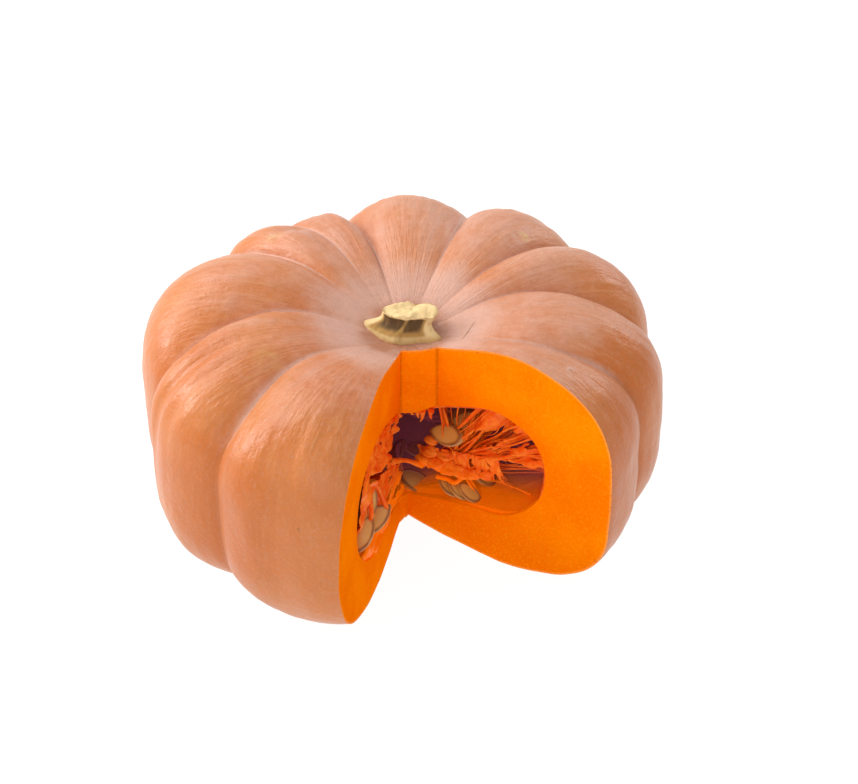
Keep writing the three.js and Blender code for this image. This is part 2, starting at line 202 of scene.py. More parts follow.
# Bunches further round: angles round the axis, distance from it, height, and angle between seeds.
FAR_REACH, FAR_HEIGHT, FAR_STEP = 58, 42, 9
FAR_BUNCHES = {"seeds_far_a": 34, "seeds_far_b": 98, "seeds_far_c": 170}

# Lamps: name, place and size in metres, and share of the key lamp's power.
LAMPS = (
    ("key", (-0.75, 0.5, 0.95), 0.8, 1),
    ("left_rim", (-1.05, 0.3, 0.5), 0.36, 0.62),
    ("right_rim", (0.8, 0.95, 0.55), 0.5, 0.36),
    ("fill", (-0.35, -1.1, 0.75), 0.9, 0.5),
)
LAMP_AIM = Vector((0, 0, 0.06))
CAMERA_AIM = Vector((11.45, 0, 73.7))
SENSOR_WIDTH = 36
FLOOR_REACH = 3  # metres from the middle of the floor to its edges

RIND, WALL, FLESH = range(3)  # materials of the fruit, by index


def lerp(a, b, share):
    """A number some share of the way from a to b."""
    return a + (b - a) * share


def smoothstep(value, low, high):
    """0 below low, 1 above high, and smooth between."""
    share = min(1, max(0, (value - low) / (high - low)))
    return share * share * (3 - 2 * share)


def bell(value, middle, width):
    """1 at the middle, falling off smoothly to both sides."""
    return math.exp(-(((value - middle) / width) ** 2))


def waves(x, y, z):
    """Smooth noise about 0 at a place."""
    return noise.noise(Vector((x, y, z)))


def around(angle, reach, height):
    """A point by its angle round the axis in degrees, its distance from the axis and its height."""
    turn = math.radians(angle)
    return Vector((reach * math.cos(turn), reach * math.sin(turn), height))


def numbers_from(seed):
    """A repeatable stream of numbers from 0 to 1."""
    state = seed
    while True:
        state = (state * 1664525 + 1013904223) & 0xFFFFFFFF
        yield state / 2**32


def length_property(name, description, millimetres):
    return bpy.props.FloatProperty(
        name=name, description=description, default=millimetres * MM, unit="LENGTH", precision=4
    )


def colour_property(name, description, colour):
    return bpy.props.FloatVectorProperty(
        name=name, description=description, default=colour, subtype="COLOR", min=0, max=1
    )


class SquashFruitSettings(bpy.types.PropertyGroup):
    """Sizes and colours of the fruit."""

    radius: length_property("Radius", "Crest of a plain lobe from the stem axis", 120)
    equator: length_property("Equator", "Height of the widest part", 63.7)
    crown: length_property("Crown", "Crest height over the equator", 69.5)
    keel: length_property("Keel", "Crest depth under the equator", 68.8)
    stem_hollow: length_property("Stem hollow", "Depth of the hollow round the stem", 28)
    stem_hollow_reach: length_property("Stem hollow reach", "How wide that hollow is", 51)
    blossom_hollow: length_property("Blossom hollow", "Depth of the hollow underneath", 6.5)
    blossom_hollow_reach: length_property("Blossom reach", "How wide that hollow is", 40)
    crest_colour: colour_property("Crest", "Rind where it is rubbed clean", (0.505, 0.175, 0.05))
    deep_colour: colour_property("Deep", "Rind in its ruddier patches", (0.465, 0.136, 0.028))
    # Painted highlight: this colour also lightens the crown towards the back and the right.
    bloom_and_highlight_colour: colour_property("Bloom", "Waxy bloom in grooves and by the stem", (0.56, 0.335, 0.27))
    streak_colour: colour_property("Streaks", "Corky streaks along the lobes", (0.64, 0.33, 0.16))
    flesh_colour: colour_property("Flesh", "Cut flesh", (1.0, 0.235, 0.0))
    flesh_deep_colour: colour_property("Deep flesh", "Flesh near the cavity", (0.92, 0.175, 0.0))
    under_rind_colour: colour_property("Under rind", "Paler line under the rind", (1.0, 0.4, 0.08))
    mottle_colour: colour_property("Mottle", "Soft light of the mottled rind", (0.85, 0.55, 0.4))
    collar_colour: colour_property("Collar", "Rind close round the stem", (0.42, 0.14, 0.05))
    crack_colour: colour_property("Crack", "The crack by the stem", (0.22, 0.08, 0.03))
    edge_colour: colour_property("Edge", "Lines where two knife cuts meet", (0.5, 0.1, 0.0))
    low_flesh_colour: colour_property("Low flesh", "Shaded flesh near the ground", (0.72, 0.12, 0.0))
    pore_colour: colour_property("Pores", "Pores of the flesh by the rind", (0.5, 0.14, 0.02))
    grain_colour: colour_property("Grain", "Pale grains of the flesh", (1.0, 0.36, 0.01))
    wall_glow: colour_property("Wall glow", "Light that fills the cavity", (0.13, 0.035, 0.0))


class SquashStemSettings(bpy.types.PropertyGroup):
    """Sizes and colours of the stem."""

    height: length_property("Height", "From the seat to the broken top", 12.6)
    neck_width: length_property("Neck half width", "Across the view", 11)
    neck_depth: length_property("Neck half depth", "Along the view", 6.4)
    head_width: length_property("Head half width", "Across the view", 12.2)
    foot_width: length_property("Foot half width", "Across the view", 14.5)
    foot_depth: length_property("Foot half depth", "Along the view", 9.4)
    lean: length_property("Lean", "How far the top stands aside of the foot", 4.5)
    head_depth: length_property("Head half depth", "Along the view", 6.2)
    cork_colour: colour_property("Cork", "Pale cork of ridges and top", (0.78, 0.56, 0.27))
    tan_colour: colour_property("Tan", "Edges of the brown hollows", (0.42, 0.23, 0.06))
    bark_colour: colour_property("Bark", "Brown hollows between ridges", (0.1, 0.05, 0.014))
    fibre_colour: colour_property("Fibres", "Fibres that run up the stem", (0.36, 0.2, 0.06))


class SquashPulpSettings(bpy.types.PropertyGroup):
    """Sizes and colours of the stringy pulp."""

    cord_reach: length_property("Cord reach", "Radius of the cord round the middle", 28)
    cord_height: length_property("Cord height", "Height of that cord", 43)
    cord_thick: length_property("Cord thickness", "Radius of that cord's section", 3.2)
    threads: bpy.props.IntProperty(name="Threads", description="Fine threads in all", default=70, min=0)
    pulp_colour: colour_property("Pulp", "Lit pulp", (0.86, 0.11, 0.004))
    thread_colour: colour_property("Threads", "Pale edges of threads", (0.95, 0.23, 0.018))
    # Painted shade: the colour that pulp and seeds take far inside the cavity, where little light
    # reaches.
    deep_colour: colour_property("Deep", "Pulp far inside the cavity", (0.34, 0.075, 0.1))
    floor_colour: colour_property("Floor", "Smooth pulp on the cavity floor", (1.0, 0.2, 0.0))
    floor_glow: colour_property("Floor glow", "Light over the cavity floor", (0.13, 0.035, 0.0))
    deep_glow: colour_property("Deep glow", "Light far inside the cavity", (0.03, 0.007, 0.01))


class SquashSeedSettings(bpy.types.PropertyGroup):
    """Sizes and colours of the seeds."""

    length: length_property("Length", "From the round end to the tip", 20)
    width: length_property("Width", "Across the broad face", 10.8)
    thickness: length_property("Thickness", "Through the seed", 3.6)
    coat_colour: colour_property("Coat", "Seed coat", (0.64, 0.32, 0.06))
    rim_colour: colour_property("Rim", "Darker rim", (0.28, 0.09, 0.015))
    blotch_colour: colour_property("Blotches", "Pale blotches of the coat", (0.74, 0.43, 0.11))


class SquashStageSettings(bpy.types.PropertyGroup):
    """Floor, light and camera."""

    floor_colour: colour_property("Floor", "Plain pale floor", (0.17, 0.17, 0.17))
    speck_colour: colour_property("Specks", "Faint specks of the floor", (0.14, 0.14, 0.14))
    sky: bpy.props.FloatProperty(name="Sky", description="Strength of the white surround", default=0.62)
    key_power: bpy.props.FloatProperty(
        name="Key", description="Power of the main lamp", default=9.5, unit="POWER"
    )
    elevation: bpy.props.FloatProperty(
        name="Elevation",
        description="How far the camera looks down",
        default=math.radians(35.964),
        subtype="ANGLE",
    )
    distance: length_property("Distance", "From the camera to the point it looks at", 963.3)
    focal_length: bpy.props.FloatProperty(
        name="Focal length", description="Lens on a 36 mm wide sensor", default=86.54, unit="CAMERA"
    )


def both_ways(operation):
    """A sum of two numbers in its plain and its reflected form."""

    def plain(self, other):
        return self.sum(operation, self, other)

    def reflected(self, other):
        return self.sum(operation, other, self)

    return plain, reflected


class Number:
    """A number that a node puts out, with sums written as plain expressions."""

    __add__, __radd__ = both_ways("ADD")
    __sub__, __rsub__ = both_ways("SUBTRACT")
    __mul__, __rmul__ = both_ways("MULTIPLY")
    __truediv__, __rtruediv__ = both_ways("DIVIDE")
    __pow__, __rpow__ = both_ways("POWER")

    def __init__(self, finish, socket):
        self.finish = finish
        self.socket = socket

    def sum(self, operation, *values):
        return self.finish.node("ShaderNodeMath", {"operation": operation}, dict(enumerate(values)))

    def most(self, other):
        return self.sum("MAXIMUM", self, other)

    def step(self, low, high):
        """0 below low, 1 above high, and smooth between."""
        inputs = {"Value": self, "From Min": low, "From Max": high}
        return self.finish.node("ShaderNodeMapRange", {"interpolation_type": "SMOOTHSTEP"}, inputs)


class Finish:
    """One material and the nodes that feed its surface."""

    def __init__(self, name, base, **surface):
        self.base = base
        self.material = bpy.data.materials.new(name)
        self.material.use_nodes = True
        self.tree = self.material.node_tree
        self.tree.nodes.clear()
        self.surface = self.tree.nodes.new("ShaderNodeBsdfPrincipled")
        output = self.tree.nodes.new("ShaderNodeOutputMaterial")
        self.tree.links.new(self.surface.outputs["BSDF"], output.inputs["Surface"])
        self.place = self.node("ShaderNodeTexCoord", out="Object").socket
        for key, value in surface.items():
            self.feed(key.replace("_", " ").title().replace("Ior", "IOR"), value)
        self.feed("Base Color", base)

    def feed(self, name, value):
        self.fill(self.surface.inputs[name], value)

    def fill(self, socket, value):
        if isinstance(value, Number):
            self.tree.links.new(value.socket, socket)
        elif isinstance(value, bpy.types.NodeSocket):
            self.tree.links.new(value, socket)
        elif socket.type == "RGBA":
            socket.default_value = (*value, 1)[:4]
        else:
            socket.default_value = value

    def node(self, kind, settings=None, inputs=None, out=0):
        """One node: its settings are set first, then the values or links of its sockets."""
        made = self.tree.nodes.new(kind)
        for key, value in (settings or {}).items():
            setattr(made, key, value)
        for key, value in (inputs or {}).items():
            if isinstance(key, int):
                socket = made.inputs[key]
            else:
                socket = next(s for s in made.inputs if s.name == key and not s.is_unavailable)
            self.fill(socket, value)
        outputs = [s for s in made.outputs if not s.is_unavailable]
        found = outputs[out] if isinstance(out, int) else next(s for s in outputs if s.name == out)
        return Number(self, found)

    def mix(self, share, first, second, blend="MIX"):
        settings = {"data_type": "RGBA", "blend_type": blend}
        return self.node("ShaderNodeMix", settings, {"Factor": share, "A": first, "B": second})

    def paint(self, share, colour, blend="MIX"):
        """Lays a colour over the base colour, as much as the share says."""
        self.base = self.mix(share, self.base, colour, blend)
        self.feed("Base Color", self.base)

    def vector(self, operation, *values):
        return self.node("ShaderNodeVectorMath", {"operation": operation}, dict(enumerate(values)))

    def noise(self, scale, detail, vector=None, rough=0.5):
        inputs = {"Vector": vector or self.place, "Scale": scale, "Detail": detail, "Roughness": rough}
        return self.node("ShaderNodeTexNoise", None, inputs)

    def axes(self, vector):
        """The three numbers of a vector."""
        split = self.node("ShaderNodeSeparateXYZ", None, {0: vector}).socket.node
        return [Number(self, socket) for socket in split.outputs]

    def map(self, name):
        """The two numbers of a UV map."""
        return self.axes(self.node("ShaderNodeUVMap", {"uv_map": name}))[:2]

    def centred(self):
        """The place of a point, counted from the foot of the stem axis."""
        return self.vector("SUBTRACT", self.place, tuple(STEM_AXIS))

    def bump(self, height, depth, strength):
        inputs = {"Strength": strength, "Distance": depth, "Height": height}
        self.feed("Normal", self.node("ShaderNodeBump", None, inputs))


class Skin:
    """The outside of the fruit: a flattened ball of lobes with hollows at the stem and underneath."""

    def __init__(self, sizes):
        self.radius = sizes.radius / MM
        self.equator = sizes.equator / MM
        self.crown = sizes.crown / MM
        self.keel = sizes.keel / MM
        self.stem_hollow = sizes.stem_hollow / MM, sizes.stem_hollow_reach / MM
        self.blossom_hollow = sizes.blossom_hollow / MM, sizes.blossom_hollow_reach / MM

    def crest(self, polar):
        """Radius and height over the equator of a plain lobe, at a polar angle from the stem."""
        radius = self.radius * abs(math.sin(polar)) ** SIDE_POWER
        rise = abs(math.cos(polar)) ** HEIGHT_POWER
        depth, reach = self.stem_hollow if polar < math.pi / 2 else self.blossom_hollow
        dip = depth * bell(radius, 0, reach)
        return radius, (self.crown * rise - dip if polar < math.pi / 2 else dip - self.keel * rise)

    def even_polars(self, count):
        """Polar angles from stem to blossom end that lie evenly along a crest."""
        samples = 4000
        fine = [math.pi * k / samples for k in range(samples + 1)]
        points = [Vector(self.crest(polar)) for polar in fine]
        along = [0.0]
        for a, b in zip(points, points[1:]):
            along.append(along[-1] + (b - a).length)
        polars = []
        k = 0
        for ring in range(count + 1):
            while k < len(along) - 2 and along[k + 1] < along[-1] * ring / count:
                k += 1
            polars.append(fine[k])
        return polars

    def groove(self, across):
        """How near a groove a point across a lobe is, 1 in it and 0 on the crest."""
        arch = math.hypot(math.sin(math.pi * across), GROOVE_ROUNDING)
        return 1 - min(1, arch) ** LOBE_POWER

    def point(self, turn, polar):
        """A point of the skin. Turn counts lobes round the axis."""
        lobe = int(turn) % len(LOBES)
        across = turn - int(turn)
        here = LOBES[lobe]
        following = LOBES[(lobe + 1) % len(LOBES)]
        last = LOBES[lobe - 1]
        twist = smoothstep(polar, *TWIST_POLARS)
        start = lerp(here[0], here[1], twist)
        end = lerp(following[0], following[1], twist) + (360 if lobe == len(LOBES) - 1 else 0)
        angle = lerp(start, end, across)
        beside = last if across < 0.5 else following
        blend = 0.5 * (1 - smoothstep(0.5 - abs(across - 0.5), 0, 0.5))
        swell = lerp(here[2], beside[2], blend) - 1
        rise = lerp(here[4], beside[4], blend)
        groove = lerp(here[3], following[3], across) * self.groove(across)
        groove *= 1 + SHOULDER_GROOVES * bell(polar, SHOULDER, SHOULDER_SPREAD)
        for middle, width, depth, first, final in FOLDS:
            fold = depth * bell(angle, middle, width)
            fold *= smoothstep(polar, first, first + FOLD_FADE)
            groove += fold * (1 - smoothstep(polar, final - FOLD_FADE, final))
        groove += self.pinch(angle, polar)
        groove *= lerp(GROOVES_BY_STEM, 1, smoothstep(polar, *STEM_POLARS))
        fade = abs(math.sin(polar)) ** 0.6
        radius, height = self.crest(polar)
        core = CORE * self.radius * min(1, radius / (0.8 * self.radius))
        reach = core + (radius - core) * (1 + (swell - groove) * fade)
        lift = height * (1 + ((swell + rise if height > 0 else 0) - groove) * fade)
        spot = around(angle, reach, self.equator + lift)
        away = Vector((spot.x, spot.y, 1.4 * lift)).normalized()
        lumps = sum(tall * noise.noise(spot / wide) for tall, wide in LUMPS)
        ripples = 0.25 + 0.4 * bell(polar, RIPPLED, RIPPLED_SPREAD)
        ripples *= noise.noise(around(angle, 30, polar * 2.5)) * fade
        return spot + away * ((lumps + ripples) * fade)

    def pinch(self, angle, polar):
        """A crease across the double lobe behind the stem, where the young fruit was held back."""
        inside = smoothstep(angle, *PINCH_COMES) * (1 - smoothstep(angle, *PINCH_GOES))
        return PINCH_DEPTH * inside * bell(polar, PINCH_POLAR, PINCH_WIDTH)


class Cavity:
    """The seed cavity, round the axis, from a smooth half section."""

    points = [Vector(point) for point in CAVITY]

    def wall(self, share):
        """A point of the wall on a smooth curve through the points of the section."""
        last = len(self.points) - 1
        place = last * share
        first = min(int(place), last - 1)
        t = place - first
        a, b, c, d = (self.points[min(max(k, 0), last)] for k in range(first - 1, first + 3))
        pull, push = (c - a) / 2, (d - b) / 2
        cubic = 2 * b - 2 * c + pull + push
        square = 3 * c - 3 * b - 2 * pull - push
        return cubic * t**3 + square * t**2 + pull * t + b

    def point(self, share, inset):
        """Reach and height of the wall, drawn in by some distance."""
        along = (self.wall(min(1, share + 1e-3)) - self.wall(max(0, share - 1e-3))).normalized()
        spot = self.wall(share) + Vector((along.y, -along.x)) * inset
        return Vector((max(0, spot.x), spot.y))

    def section(self, steps, inset):
        return [self.point(k / steps, inset) for k in range(steps + 1)]

    def sag(self, spot):
        """Moves a point of the wall out where the cavity is roomier, low down by the left cut."""
        azimuth = math.degrees(math.atan2(spot.y, spot.x)) % 360
        near = bell(azimuth, LEFT_AZIMUTH, 40) * (1 - smoothstep(spot.z, 35, 75))
        room = near * smoothstep(math.hypot(spot.x, spot.y), 15, 60)
        return spot + around(azimuth, 6 * room, -4.5 * room)


def meeting(first, second, height):
    """Where two knife planes meet at a height."""
    rows = []
    for point, keep in (first, second):
        point, keep = Vector(point), Vector(keep)
        rows.append((keep.x, keep.y, keep.dot(point) - keep.z * height))
    (a, b, c), (d, e, f) = rows
    across = a * e - b * d
    return Vector(((c * e - b * f) / across, (a * f - c * d) / across, height))


def object_from(name, shape, materials):
    """An object in the scene from a bmesh, which is used up."""
    mesh = bpy.data.meshes.new(name)
    shape.to_mesh(mesh)
    shape.free()
    for material in materials:
        mesh.materials.append(material)
    made = bpy.data.objects.new(name, mesh)
    bpy.context.scene.collection.objects.link(made)
    return made


def piece_from(name, shape, materials):
    """A finished smooth object at the origin from a bmesh in millimetres round the axis."""
    for face in shape.faces:
        face.smooth = True
    bmesh.ops.scale(shape, vec=(MM, MM, MM), verts=shape.verts[:])
    bmesh.ops.translate(shape, vec=STEM_AXIS, verts=shape.verts[:])
    return object_from(name, shape, materials)


def settle(piece, slot, *nodes):
    """Ties a piece to its body and hides the nodes it stands for; the slot is not used."""
    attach(piece, "root")
    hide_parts(*nodes)


def solid_of(name, shape, material_index, materials):
    """An object in millimetres for the cuts, with one material all over."""
    for face in shape.faces:
        face.material_index = material_index
    return object_from(name, shape, materials)


def write_map(faces, layer, places):
    """Writes the two numbers found for each vertex to the corners of some faces."""
    for face in faces:
        for loop in face.loops:
            loop[layer].uv = places[loop.vert]


def wedge_shape():
    """The wedge as one block: knife planes at its sides and the two facets at its inner edge."""
    shape = bmesh.new()
    bmesh.ops.create_cube(shape, size=2)
    bmesh.ops.subdivide_edges(shape, edges=shape.edges[:], cuts=64, use_grid_fill=True)
    for vert in shape.verts:
        side, depth, level = ((part + 1) / 2 for part in vert.co)
        height = lerp(*WEDGE_HEIGHTS, level)
        facet = smoothstep(height, *FACET_CHANGE)
        sides = []
        for knife, outer in ((LEFT_CUT, WEDGE_FRONT), (RIGHT_CUT, WEDGE_SIDE)):
            inner = meeting(knife, LOWER_FACET, height).lerp(meeting(knife, UPPER_FACET, height), facet)
            sides.append(meeting(knife, outer, height).lerp(inner, depth))
        left, right = sides
        left.x -= LEFT_HOLLOW * bell(height, 58, 45) * smoothstep(math.hypot(left.x, left.y), 25, 95)
        spot = left.lerp(right, side)
        waver = noise.noise_vector(spot / 18) * 0.3 + noise.noise_vector(spot / 5) * 0.06
        vert.co = spot + waver
    bmesh.ops.recalc_face_normals(shape, faces=shape.faces[:])
    return shape


def turned(points, steps, angle=2 * math.pi, start=0.0):
    """A sheet turned round the axis from points of reach and height."""
    shape = bmesh.new()
    verts = [shape.verts.new(around(start, reach, height)) for reach, height in points]
    edges = [shape.edges.new(pair) for pair in zip(verts, verts[1:])]
    bmesh.ops.spin(
        shape,
        geom=verts + edges,
        cent=(0, 0, 0),
        axis=(0, 0, 1),
        angle=angle,
        steps=steps,
        use_merge=math.isclose(angle, 2 * math.pi),
    )
    bmesh.ops.remove_doubles(shape, verts=shape.verts[:], dist=0.01)
    bmesh.ops.recalc_face_normals(shape, faces=shape.faces[:])
    return shape


def cut_away(piece, cutter):
    """Takes a cutter out of a piece for good."""
    modifier = piece.modifiers.new("cut", "BOOLEAN")
    modifier.object = cutter
    modifier.operation = "DIFFERENCE"
    modifier.solver = "MANIFOLD"
    modifier.material_mode = "INDEX"
    graph = bpy.context.evaluated_depsgraph_get()
    mesh = bpy.data.meshes.new_from_object(piece.evaluated_get(graph))
    piece.modifiers.clear()
    old = piece.data
    piece.data = mesh
    bpy.data.meshes.remove(old)
    bpy.data.meshes.remove(cutter.data)


def skin_shape(skin, sides_per_lobe=40, rings=132):
    """The whole skin, with a map of groove and polar angle on its faces."""
    shape = bmesh.new()
    sides = sides_per_lobe * len(LOBES)
    bmesh.ops.create_grid(shape, x_segments=sides, y_segments=rings, size=0.5)
    polars = skin.even_polars(rings)
    map_layer = shape.loops.layers.uv.new("rind_map")
    places = {}
    for vert in shape.verts:
        ring = round((0.5 - vert.co.y) * rings)
        turn = round((vert.co.x + 0.5) * sides) % sides / sides_per_lobe
        pole = ring in (0, rings)
        places[vert] = (skin.groove(turn % 1), polars[ring] / math.pi)
        spot = skin.point(0 if pole else turn, polars[ring])
        vert.co = Vector((0, 0, spot.z)) if pole else spot
        vert.co.z = max(0, vert.co.z)
    write_map(shape.faces, map_layer, places)
    bmesh.ops.remove_doubles(shape, verts=shape.verts[:], dist=1e-4)
    bmesh.ops.recalc_face_normals(shape, faces=shape.faces[:])
    return shape


def rim_finder(edges):
    """A function that gives the distance from a point to the nearest of some edges."""
    segments = [tuple(vert.co.copy() for vert in edge.verts) for edge in edges]
    tree = kdtree.KDTree(len(segments))
    for k, (a, b) in enumerate(segments):
        tree.insert((a + b) / 2, k)
    tree.balance()

    def distance(spot):
        best = 1e9
        for _, k, _ in tree.find_n(spot, 4):
            near, share = geometry.intersect_point_line(spot, *segments[k])
            near = segments[k][0] if share < 0 else segments[k][1] if share > 1 else near
            best = min(best, (spot - near).length)
        return best

    return distance


def map_flesh(shape):
    """Writes how far each corner of the cut flesh lies from the rind and from the cavity."""
    layer = shape.loops.layers.uv.new("flesh_map")
    borders = {RIND: [], WALL: []}
    for edge in shape.edges:
        kinds = sorted(face.material_index for face in edge.link_faces)
        if len(kinds) == 2 and kinds[0] != kinds[1]:
            edge.smooth = False
            if kinds[1] == FLESH:
                borders[kinds[0]].append(edge)
    to_rind = rim_finder(borders[RIND])
    to_wall = rim_finder(borders[WALL])
    flesh = [face for face in shape.faces if face.material_index == FLESH]
    verts = {loop.vert for face in flesh for loop in face.loops}
    gaps = {vert: (to_rind(vert.co) / MAP_REACH, to_wall(vert.co) / MAP_REACH) for vert in verts}
    write_map(flesh, layer, gaps)
    for face in flesh:
        for edge in face.edges:
            if edge.calc_face_angle(0) > SHARP_ANGLE:
                edge.smooth = False


def rind_finish(look):
    """Waxy rind: ruddy patches, pale bloom in the grooves and by the stem, a painted highlight towards
    the back and right of the crown, marks and a crack.
    """
    surface = {"specular_ior_level": 0.34, "sheen_weight": 0.06, "sheen_roughness": 0.4}
    finish = Finish("waxy_rind", look.crest_colour, **surface)
    groove, polar = finish.map("rind_map")
    centred = finish.centred()
    x, y, _ = finish.axes(centred)
    reach = (x * x + y * y) ** 0.5
    flat = finish.node("ShaderNodeCombineXYZ", None, {0: x / reach, 1: y / reach, 2: polar * 0.5})
    patches = finish.noise(18, 3)
    blotch = finish.noise(62, 4, rough=0.6)
    mottle = finish.noise(240, 4, rough=0.65)
    specks = finish.noise(780, 2)
    bands = finish.noise(9, 2, flat)
    lines = finish.noise(52, 3, flat, 0.55)
    upper = 1 - polar.step(0.28, 0.46)
    bloom_and_highlight = groove.step(0.45, 0.95) * upper * 0.95
    bloom_and_highlight = bloom_and_highlight.most(1 - polar.step(0.05, 0.18))
    crown = 1 - polar.step(0.2, 0.37)
    # Painted highlight: the crown is paler still towards the back and the right.
    bloom_and_highlight = bloom_and_highlight.most(crown * (0.36 + 0.2 * y.step(-0.01, 0.08).most(x.step(0.0, 0.08))))
    spread = (bands - 0.5) * 0.5 + (blotch - 0.5) * 0.55 + (mottle - 0.5) * 0.45
    bloom_and_highlight = (bloom_and_highlight + spread * (0.5 + 0.5 * upper)).step(0.08, 1.05)
    finish.paint(patches.step(0.36, 0.66), look.deep_colour)
    finish.paint(lines.step(0.45, 0.72) * (0.06 + 0.2 * upper), look.streak_colour)
    finish.paint(bloom_and_highlight, look.bloom_and_highlight_colour)
    finish.paint((mottle - 0.5) * 0.7 + 0.35, look.mottle_colour, "SOFT_LIGHT")
    finish.paint(specks.step(0.52, 0.74) * 0.16, look.bloom_and_highlight_colour)
    finish.paint((1 - specks.step(0.28, 0.46)) * 0.2, look.deep_colour)
    collar = (1 - reach.step(0.018, 0.024)) * blotch.step(0.3, 0.6)
    finish.paint(collar * 0.7, look.collar_colour)
    for place, size, share, colour in MARKS:
        gap = finish.vector("DISTANCE", centred, tuple(part * MM for part in place))
        mark = 1 - (gap + (blotch - 0.5) * (size * 1.6 * MM)).step(0.4 * size * MM, size * MM)
        finish.paint(mark * mottle.step(0.35, 0.6) * share, colour)
    crack_gap = finish.vector("SUBTRACT", centred, tuple(part * MM for part in CRACK))
    along = finish.vector("DOT_PRODUCT", crack_gap, CRACK_ALONG)
    aside = finish.vector("DOT_PRODUCT", crack_gap, CRACK_ASIDE) + (blotch - 0.5) * 0.004
    crack = (1 - (aside * aside).step(0.0, 2.0e-7)) * along.step(-0.001, 0.001)
    crack = crack * (1 - along.step(0.01, 0.014))
    finish.paint(crack * 0.7, look.crack_colour)
    finish.feed("Roughness", 0.26 + mottle * 0.2 + bloom_and_highlight * 0.12)
    finish.bump(lines * upper * 0.7 + mottle * 0.45 + blotch * 1.2 + specks * 0.12, 0.0009, 0.7)
    return finish.material


def flesh_finish(look):
    """Cut flesh: deeper near the cavity, paler and pored under the rind, lined where cuts meet."""
    finish = Finish("cut_flesh", look.flesh_colour, specular_ior_level=0.0)
    rind_gap, wall_gap = finish.map("flesh_map")
    grain = finish.noise(800, 3)
    cloud = finish.noise(40, 3)
    finish.paint(cloud.step(0.35, 0.7), look.flesh_deep_colour)
    finish.paint((1 - wall_gap.step(0.0, 0.45)) * 0.5, look.flesh_deep_colour)
    x, y, z = finish.axes(finish.centred())
    for cut in (LEFT_CUT, RIGHT_CUT):
        edge = meeting(cut, UPPER_FACET, 90) * MM
        gap = ((x - edge.x) ** 2 + (y - edge.y) ** 2) ** 0.5
        line = (1 - gap.step(0.0002, 0.0012)) * z.step(0.06, 0.065)
        finish.paint(line * 0.5, look.edge_colour)
    # Painted shade: the flesh low down on the cut is darker.
    low = (1 - z.step(0.005, 0.06)) * x.step(-0.02, 0.02)
    finish.paint(low * 0.6, look.low_flesh_colour)
    finish.paint((1 - rind_gap.step(0.015, 0.075)) * 0.5, look.under_rind_colour)
    pores = finish.noise(520, 2).step(0.58, 0.68) * (1 - rind_gap.step(0.05, 0.11))
    finish.paint(pores * 0.6, look.pore_colour)
    finish.paint(grain.step(0.45, 0.75) * 0.3, look.grain_colour)
    finish.paint((1 - grain.step(0.25, 0.45)) * 0.3, look.flesh_deep_colour)
    finish.feed("Roughness", 0.3 + grain * 0.22)
    finish.bump(grain, 0.0004, 0.5)
    return finish.material


def wall_finish(look):
    """The wall of the cavity, with a little of the light that fills the cavity."""
    surface = {"roughness": 0.6, "specular_ior_level": 0.0, "emission_strength": 1.0}
    finish = Finish("cavity_wall", look.flesh_deep_colour, **surface)
    finish.feed("Emission Color", look.wall_glow)
    grain = finish.noise(260, 3)
    finish.paint(grain, look.flesh_colour)
    finish.bump(grain, 0.0005, 0.5)
    return finish.material


class SQUASH_OT_fruit(bpy.types.Operator):
    """Makes the fruit: lobed skin, seed cavity and the wedge cut out of it"""

    bl_idname = "squash.fruit"
    bl_label = "Fruit"

    def execute(self, context):
        look = context.scene.squash_fruit
        materials = [rind_finish(look), wall_finish(look), flesh_finish(look)]
        cavity = Cavity()
        piece = solid_of("fruit_flesh", skin_shape(Skin(look)), RIND, materials)
        hollow = turned(cavity.section(48, 0), 96)
        for vert in hollow.verts:
            vert.co = cavity.sag(vert.co)
        cut_away(piece, solid_of("hollow", hollow, WALL, materials))
        cut_away(piece, solid_of("wedge", wedge_shape(), FLESH, materials))
        shape = bmesh.new()
        shape.from_mesh(piece.data)
        bpy.data.objects.remove(piece)
        if {face.material_index for face in shape.faces} != {RIND, WALL, FLESH}:
            raise RuntimeError("the cuts left the fruit without rind, cavity or flesh")
        map_flesh(shape)
        settle(piece_from("fruit_flesh", shape, materials), "rind_and_flesh", "fruit")
        return {"FINISHED"}


def stem_finish(look):
    """Pale cork on the ridges and the top, brown bark in the hollows between."""
    finish = Finish("cork", look.cork_colour, roughness=0.85)
    hollow, share = finish.map("stem_map")
    grain = finish.noise(300, 4)
    blotch = finish.noise(110, 3)
    fibres = finish.noise(500, 3, finish.vector("MULTIPLY", finish.place, (1, 1, 0.2)))
    bark = hollow.step(0.2, 0.75) * share.step(0.4, 0.6) * (1 - share.step(0.9, 0.98))
    bark = (bark + (blotch - 0.5) * 0.5).step(0.15, 0.8)
    finish.paint((1 - share.step(0.36, 0.62)) * 0.65, look.tan_colour)
    finish.paint(bark, look.tan_colour)
    dark = bark * hollow.step(0.4, 0.9) * share.step(0.48, 0.72)
    dark = (dark + (blotch - 0.5) * 0.9).step(0.25, 0.95)
    finish.paint(dark * bark, look.bark_colour)
    finish.paint(fibres.step(0.5, 0.75) * 0.35, look.fibre_colour)
    finish.bump(grain + fibres, 0.0006, 0.8)
    return finish.material


